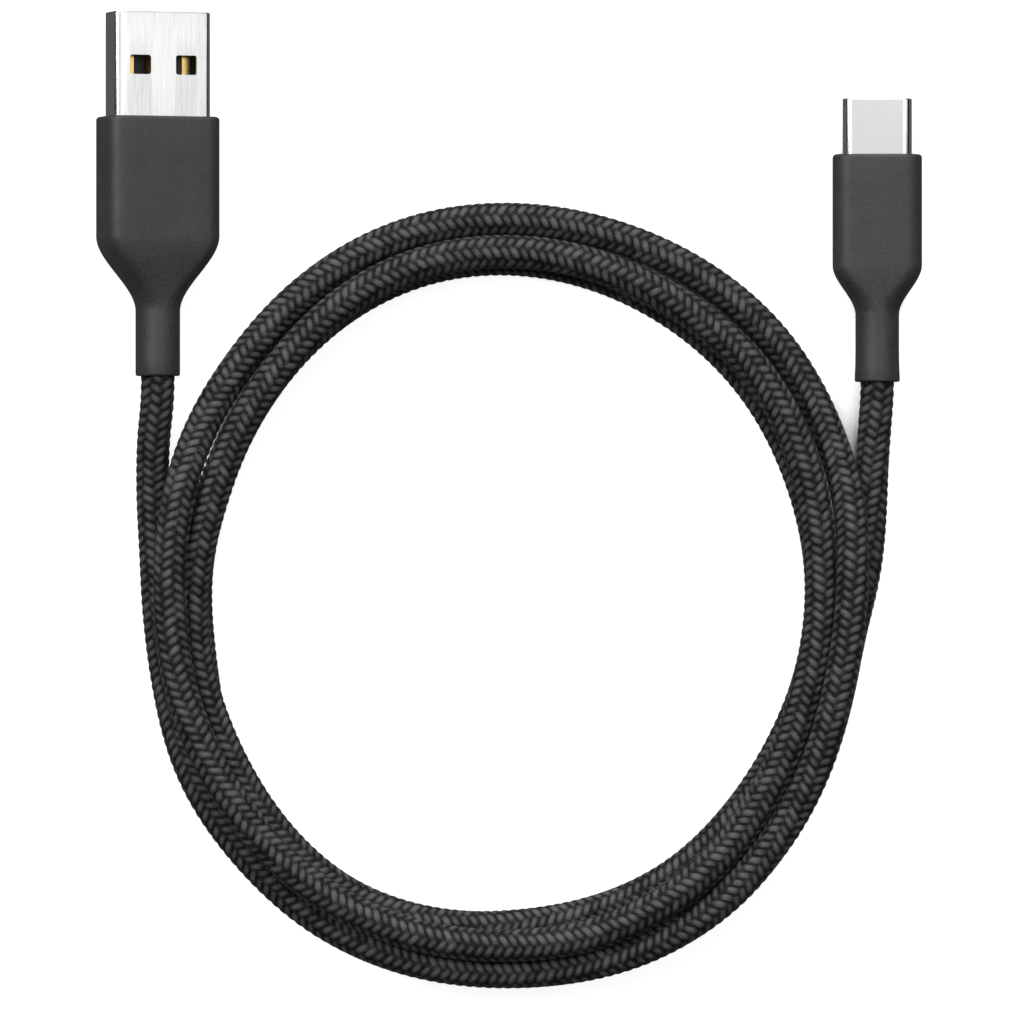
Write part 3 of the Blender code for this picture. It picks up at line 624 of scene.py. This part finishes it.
def braided_cord():
    """The woven sleeve along the cord's route, as one closed tube with its relief in the mesh."""
    fine_count = 4000
    length = np.linalg.norm(np.diff(cord_route(fine_count), axis=0), axis=1).sum()
    count = round(length / BRAID_STEP)
    line = cord_route(count)
    side, up = frames_along(line)
    run = np.linspace(0, length, count)[:, None]
    turn = np.arange(BRAID_SIDES)[None, :] / BRAID_SIDES
    twist = sum(turns * np.sin(2 * math.pi * run / wave + phase) for turns, wave, phase in TWISTS)
    height, tone, across = braid_relief(run, turn + twist)
    radius = BRAID_LOW + (BRAID_HIGH - BRAID_LOW) * height
    angle = 2 * math.pi * turn
    out = side[:, None, :] * np.cos(angle)[..., None] + up[:, None, :] * np.sin(angle)[..., None]
    rows = line[:, None, :] + out * radius[..., None]
    mesh = bpy.data.meshes.new("cord_sleeve")
    ring, place = np.meshgrid(np.arange(count - 1), np.arange(BRAID_SIDES), indexing="ij")
    beside = (place + 1) % BRAID_SIDES
    near, far = ring * BRAID_SIDES, (ring + 1) * BRAID_SIDES
    quads = np.stack([near + place, near + beside, far + beside, far + place], axis=-1).reshape(-1, 4)
    fill_mesh(mesh, rows.reshape(-1, 3), quads[:, ::-1])
    for name, values in (("relief", height), ("tone", tone), ("across", across)):
        layer = mesh.attributes.new(name, "FLOAT", "POINT")
        layer.data.foreach_set("value", values.astype(np.float32).ravel())
    close_ends(mesh)
    mesh.shade_smooth()
    obj = add_object("cord_sleeve", mesh, braid_material(), "braid", "braided_cord")


def close_ends(mesh):
    """Puts one flat face on each open end."""
    bm = bmesh.new()
    bm.from_mesh(mesh)
    bmesh.ops.holes_fill(bm, edges=[edge for edge in bm.edges if edge.is_boundary], sides=0)
    bm.to_mesh(mesh)
    bm.free()


# ---- plugs ----


def grip(name, size, neck, taper, length, flare, inside, plug, height, replaced):
    """A moulding: neck, swelling shoulders and body, with a rounded front edge and the hollow behind it."""
    width, thickness, radius = size
    rear, front = taper
    rows = []
    for step in range(REAR_STEPS + 1):
        turn = math.radians(90) * step / REAR_STEPS
        inset = REAR_RADIUS * (1 - math.sin(turn))
        end = neck / 2 + flare - inset
        rows.append(section(2 * end, 2 * end, end, REAR_RADIUS * (1 - math.cos(turn))))
    for share in (0.25, 0.5, 0.8):
        flared = neck + 2 * flare * max(0.0, 0.5 - share)
        rows.append(section(flared, flared, flared / 2, share * rear))
    for step in range(TAPER_STEPS + 1):
        share = step / TAPER_STEPS
        grown = swell(share)
        wide = neck + (width - neck) * grown
        thick = neck + (thickness - neck) * grown
        corner = neck / 2 + (radius - neck / 2) * grown
        rows.append(section(wide, thick, corner, rear + share * (front - rear), CROWN * grown))
    for share in (0.25, 0.5, 0.75):
        y = front + share * (length - FRONT_RADIUS - front)
        rows.append(section(width, thickness, radius, y, CROWN))
    for step in range(FRONT_STEPS + 1):
        turn = math.radians(90) * step / FRONT_STEPS
        inset = FRONT_RADIUS * (1 - math.cos(turn))
        y = length - FRONT_RADIUS * (1 - math.sin(turn))
        corner = radius - 0.6 * inset
        rows.append(section(width - 2 * inset, thickness - 2 * inset, corner, y, CROWN))
    for y, wide, thick, corner in reversed(inside):
        rows.append(section(wide * MM, thick * MM, corner * MM, y * MM))
    rows = into_row(np.array(rows), plug, height)
    mesh = quad_mesh(name, rows[:, ::-1])
    smooth(mesh, 40)
    add_object(name, mesh, GRIP, "grip", replaced)


def shell_rows(size, wall, rear, tip, lip):
    """A drawn metal shell, outside and inside, with a rounded front edge."""
    width, thickness, radius = size
    inner_radius = max(radius - wall, 0.15 * MM)
    rows = [section(width, thickness, radius, rear), section(width, thickness, radius, rear + 2 * MM)]
    for step in range(LIP_STEPS + 1):
        turn = math.radians(90) * step / LIP_STEPS
        inset = lip * (1 - math.cos(turn))
        y = tip - lip * (1 - math.sin(turn))
        rows.append(section(width - 2 * inset, thickness - 2 * inset, radius - inset, y))
    inner = (width - 2 * wall, thickness - 2 * wall, inner_radius)
    rows.append(section(*inner, tip - 0.05 * MM))
    rows.append(section(*inner, rear))
    return np.array(rows)


def rounded_box(name, size, corner, centre):
    """A cutter with rounded corners as seen from above."""
    bm = bmesh.new()
    bmesh.ops.create_cube(bm, size=1)
    bmesh.ops.scale(bm, vec=size, verts=bm.verts)
    upright = [edge for edge in bm.edges if abs(edge.verts[0].co.z - edge.verts[1].co.z) > size[2] / 2]
    bmesh.ops.bevel(bm, geom=upright, offset=corner, segments=5, affect="EDGES", profile=0.5)
    bmesh.ops.translate(bm, vec=centre, verts=bm.verts)
    mesh = bpy.data.meshes.new(name)
    bm.to_mesh(mesh)
    bm.free()
    return mesh


def cut(obj, meshes):
    """Takes these solids out of obj and leaves the result in its mesh."""
    helpers = []
    for mesh in meshes:
        helper = bpy.data.objects.new(mesh.name, mesh)
        bpy.context.scene.collection.objects.link(helper)
        modifier = obj.modifiers.new(mesh.name, "BOOLEAN")
        modifier.operation, modifier.solver, modifier.object = "DIFFERENCE", "EXACT", helper
        helpers.append(helper)
    graph = bpy.context.evaluated_depsgraph_get()
    result = bpy.data.meshes.new_from_object(obj.evaluated_get(graph))
    obj.modifiers.clear()
    obj.data = result
    for helper in helpers:
        bpy.data.objects.remove(helper)


def transform_mesh(mesh, plug, height):
    """Moves a mesh from a plug's own frame to where the plug lies."""
    points = np.empty(3 * len(mesh.vertices), np.float32)
    mesh.vertices.foreach_get("co", points)
    moved = into_row(points.reshape(-1, 3).astype(float), plug, height)
    mesh.vertices.foreach_set("co", moved.astype(np.float32).ravel())
    mesh.update()


def type_a_shell():
    """The Type-A shell, with two windows through each flat and the seam of the rolled sheet underneath."""
    rows = shell_rows(A_SHELL, A_WALL, A_SHELL_REAR, A_TIP, A_LIP)
    mesh = quad_mesh("type_a_shell_sheet", rows[:, ::-1])
    obj = bpy.data.objects.new("type_a_shell_sheet", mesh)
    bpy.context.scene.collection.objects.link(obj)
    cutters = []
    for side in (-1, 1):
        size = (A_WINDOW[0], A_WINDOW[1], 3 * A_SHELL[1])
        centre = (side * A_WINDOW_X, A_TIP - A_WINDOW_FROM_TIP, 0)
        cutters.append(rounded_box(f"window_{side}", size, A_WINDOW[2], centre))
    cutters.append(rounded_box("seam", A_SEAM, 0.001 * MM, (0, A_TIP, -A_SHELL[1] / 2)))
    cut(obj, cutters)
    finished = obj.data
    bpy.data.objects.remove(obj)
    transform_mesh(finished, A_FRAME, a_axis_height())
    smooth(finished, 32)
    finished.materials.clear()
    add_object("type_a_shell_sheet", finished, STEEL_A_SHADED, "steel", "type_a_shell")


def type_c_shell():
    rows = shell_rows(C_SHELL, C_WALL, C_SHELL_REAR, C_TIP, C_LIP)
    rows = into_row(rows, C_FRAME, C_GRIP[1] / 2)
    mesh = quad_mesh("type_c_shell_sheet", rows[:, ::-1])
    smooth(mesh, 32)
    add_object("type_c_shell_sheet", mesh, STEEL, "steel", "type_c_shell")


# ---- finishes of the CAD nodes ----


def finish_nodes():
    """Gives every CAD node that stays in view its own patterned material."""
    gold = metal_material("gold_plating", (0.78, 0.52, 0.16), (0.9, 0.66, 0.26), 0.22)
    black = plastic_material("black_insulator", (0.012, 0.012, 0.013), 0.45, 0.3 * MM)
    white = plastic_material("natural_mould", (0.62, 0.62, 0.59), 0.4, 0.5 * MM)
    jacket = plastic_material("jacket", (0.025, 0.025, 0.025), 0.55)
    board = plastic_material("solder_mask", (0.02, 0.15, 0.06), 0.35)
    resistor = plastic_material("resistor_glaze", (0.03, 0.03, 0.035), 0.3, 0.1 * MM)
    sheet = steel_material("tinned_sheet", 0.72, (0.25, 0.4))
    rules = [
        ("contact", gold),
        ("insulator", black),
        ("carrier", black),
        ("inner_mould", white),
        ("jacket_end", jacket),
        ("circuit_board", board),
        ("resistor", resistor),
    ]
    wires = (
        ("red", (0.5, 0.02, 0.02)),
        ("white", (0.75, 0.75, 0.72)),
        ("green", (0.03, 0.3, 0.06)),
        ("black", (0.018, 0.018, 0.018)),
    )
    for colour, shade in wires:
        rules.append((f"wire_{colour}", plastic_material(f"insulation_{colour}", shade, 0.4)))
    for name, obj in NODES.items():
        material = next((finish for word, finish in rules if word in name), sheet)
        for slot in obj.material_slots:
            slot.material = material


make_camera()
make_world()
make_floor()
area_light("key", *KEY_LIGHT)
area_light("fill", *FILL_LIGHT)
GRIP = grip_material()
STEEL = steel_material("shell_steel", 0.84)
# A darker copy of the same shell steel for the Type-A shell: painted shade on it.
STEEL_A_SHADED = steel_material("shell_steel_a_shaded", 0.74)
braided_cord()
a_outline = (A_GRIP, A_NECK, A_TAPER, A_GRIP_LENGTH, 0.0, A_GRIP_INSIDE)
c_outline = (C_GRIP, C_NECK, C_TAPER, C_GRIP_LENGTH, C_FLARE, C_GRIP_INSIDE)
grip("type_a_grip_body", *a_outline, A_FRAME, a_axis_height(), "type_a_grip")
grip("type_c_grip_body", *c_outline, C_FRAME, C_GRIP[1] / 2, "type_c_grip")
type_a_shell()
type_c_shell()
finish_nodes()
bpy.context.scene.view_settings.view_transform = "Standard"
